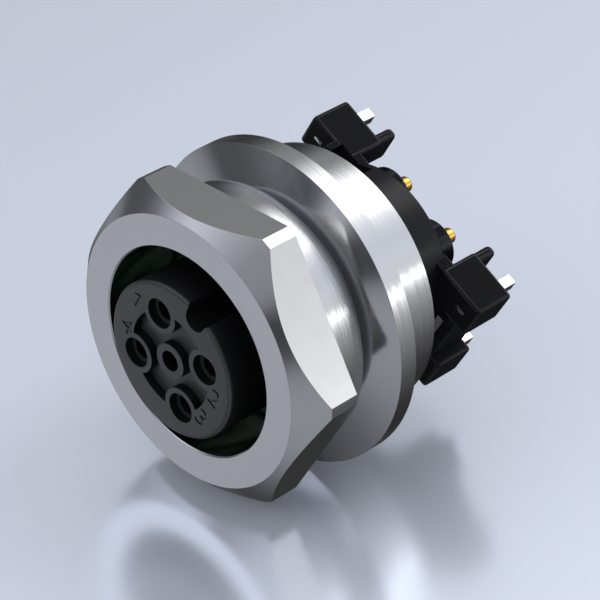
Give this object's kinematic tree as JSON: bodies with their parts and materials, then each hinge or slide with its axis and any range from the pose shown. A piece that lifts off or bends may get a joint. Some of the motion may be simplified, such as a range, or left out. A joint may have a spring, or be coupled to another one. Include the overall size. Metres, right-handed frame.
{
  "type": "m12 connector",
  "caption": "Panel-mounted round socket with a hexagon and flange in metal, a keyed black insert, gold contacts and a black rear carrier with solder pins.",
  "frame": {"origin": "on the connector's axis, in the plane where the rear face of the flange seats on the panel", "axes": "-Y points out of the mating face, +Y towards the solder pins, +Z square to the top flat of the hexagon"},
  "size_m": [0.017, 0.0176, 0.017],
  "materials": {
    "nickel_plated_brass": "satin turned",
    "black_polyamide": "fine moulded satin",
    "gold_plated_contact": "bright gold plate",
    "green_seal": "smooth rubber",
    "tinned_pin": "bright tin plate",
    "plain_brass": "machined"
  },
  "bodies": {
    "root": {"housing": "nickel_plated_brass", "insert": "black_polyamide", "rear_carrier": "black_polyamide", "gap_seal": "green_seal", "lock_ring": "plain_brass", "contact_1": "gold_plated_contact", "contact_2": "gold_plated_contact", "contact_3": "gold_plated_contact", "contact_4": "gold_plated_contact", "contact_5": "gold_plated_contact", "hold_down_pin_upper_left": "tinned_pin", "hold_down_pin_upper_right": "tinned_pin", "hold_down_pin_lower_right": "tinned_pin", "hold_down_pin_lower_left": "tinned_pin"}
  },
  "joints": []
}
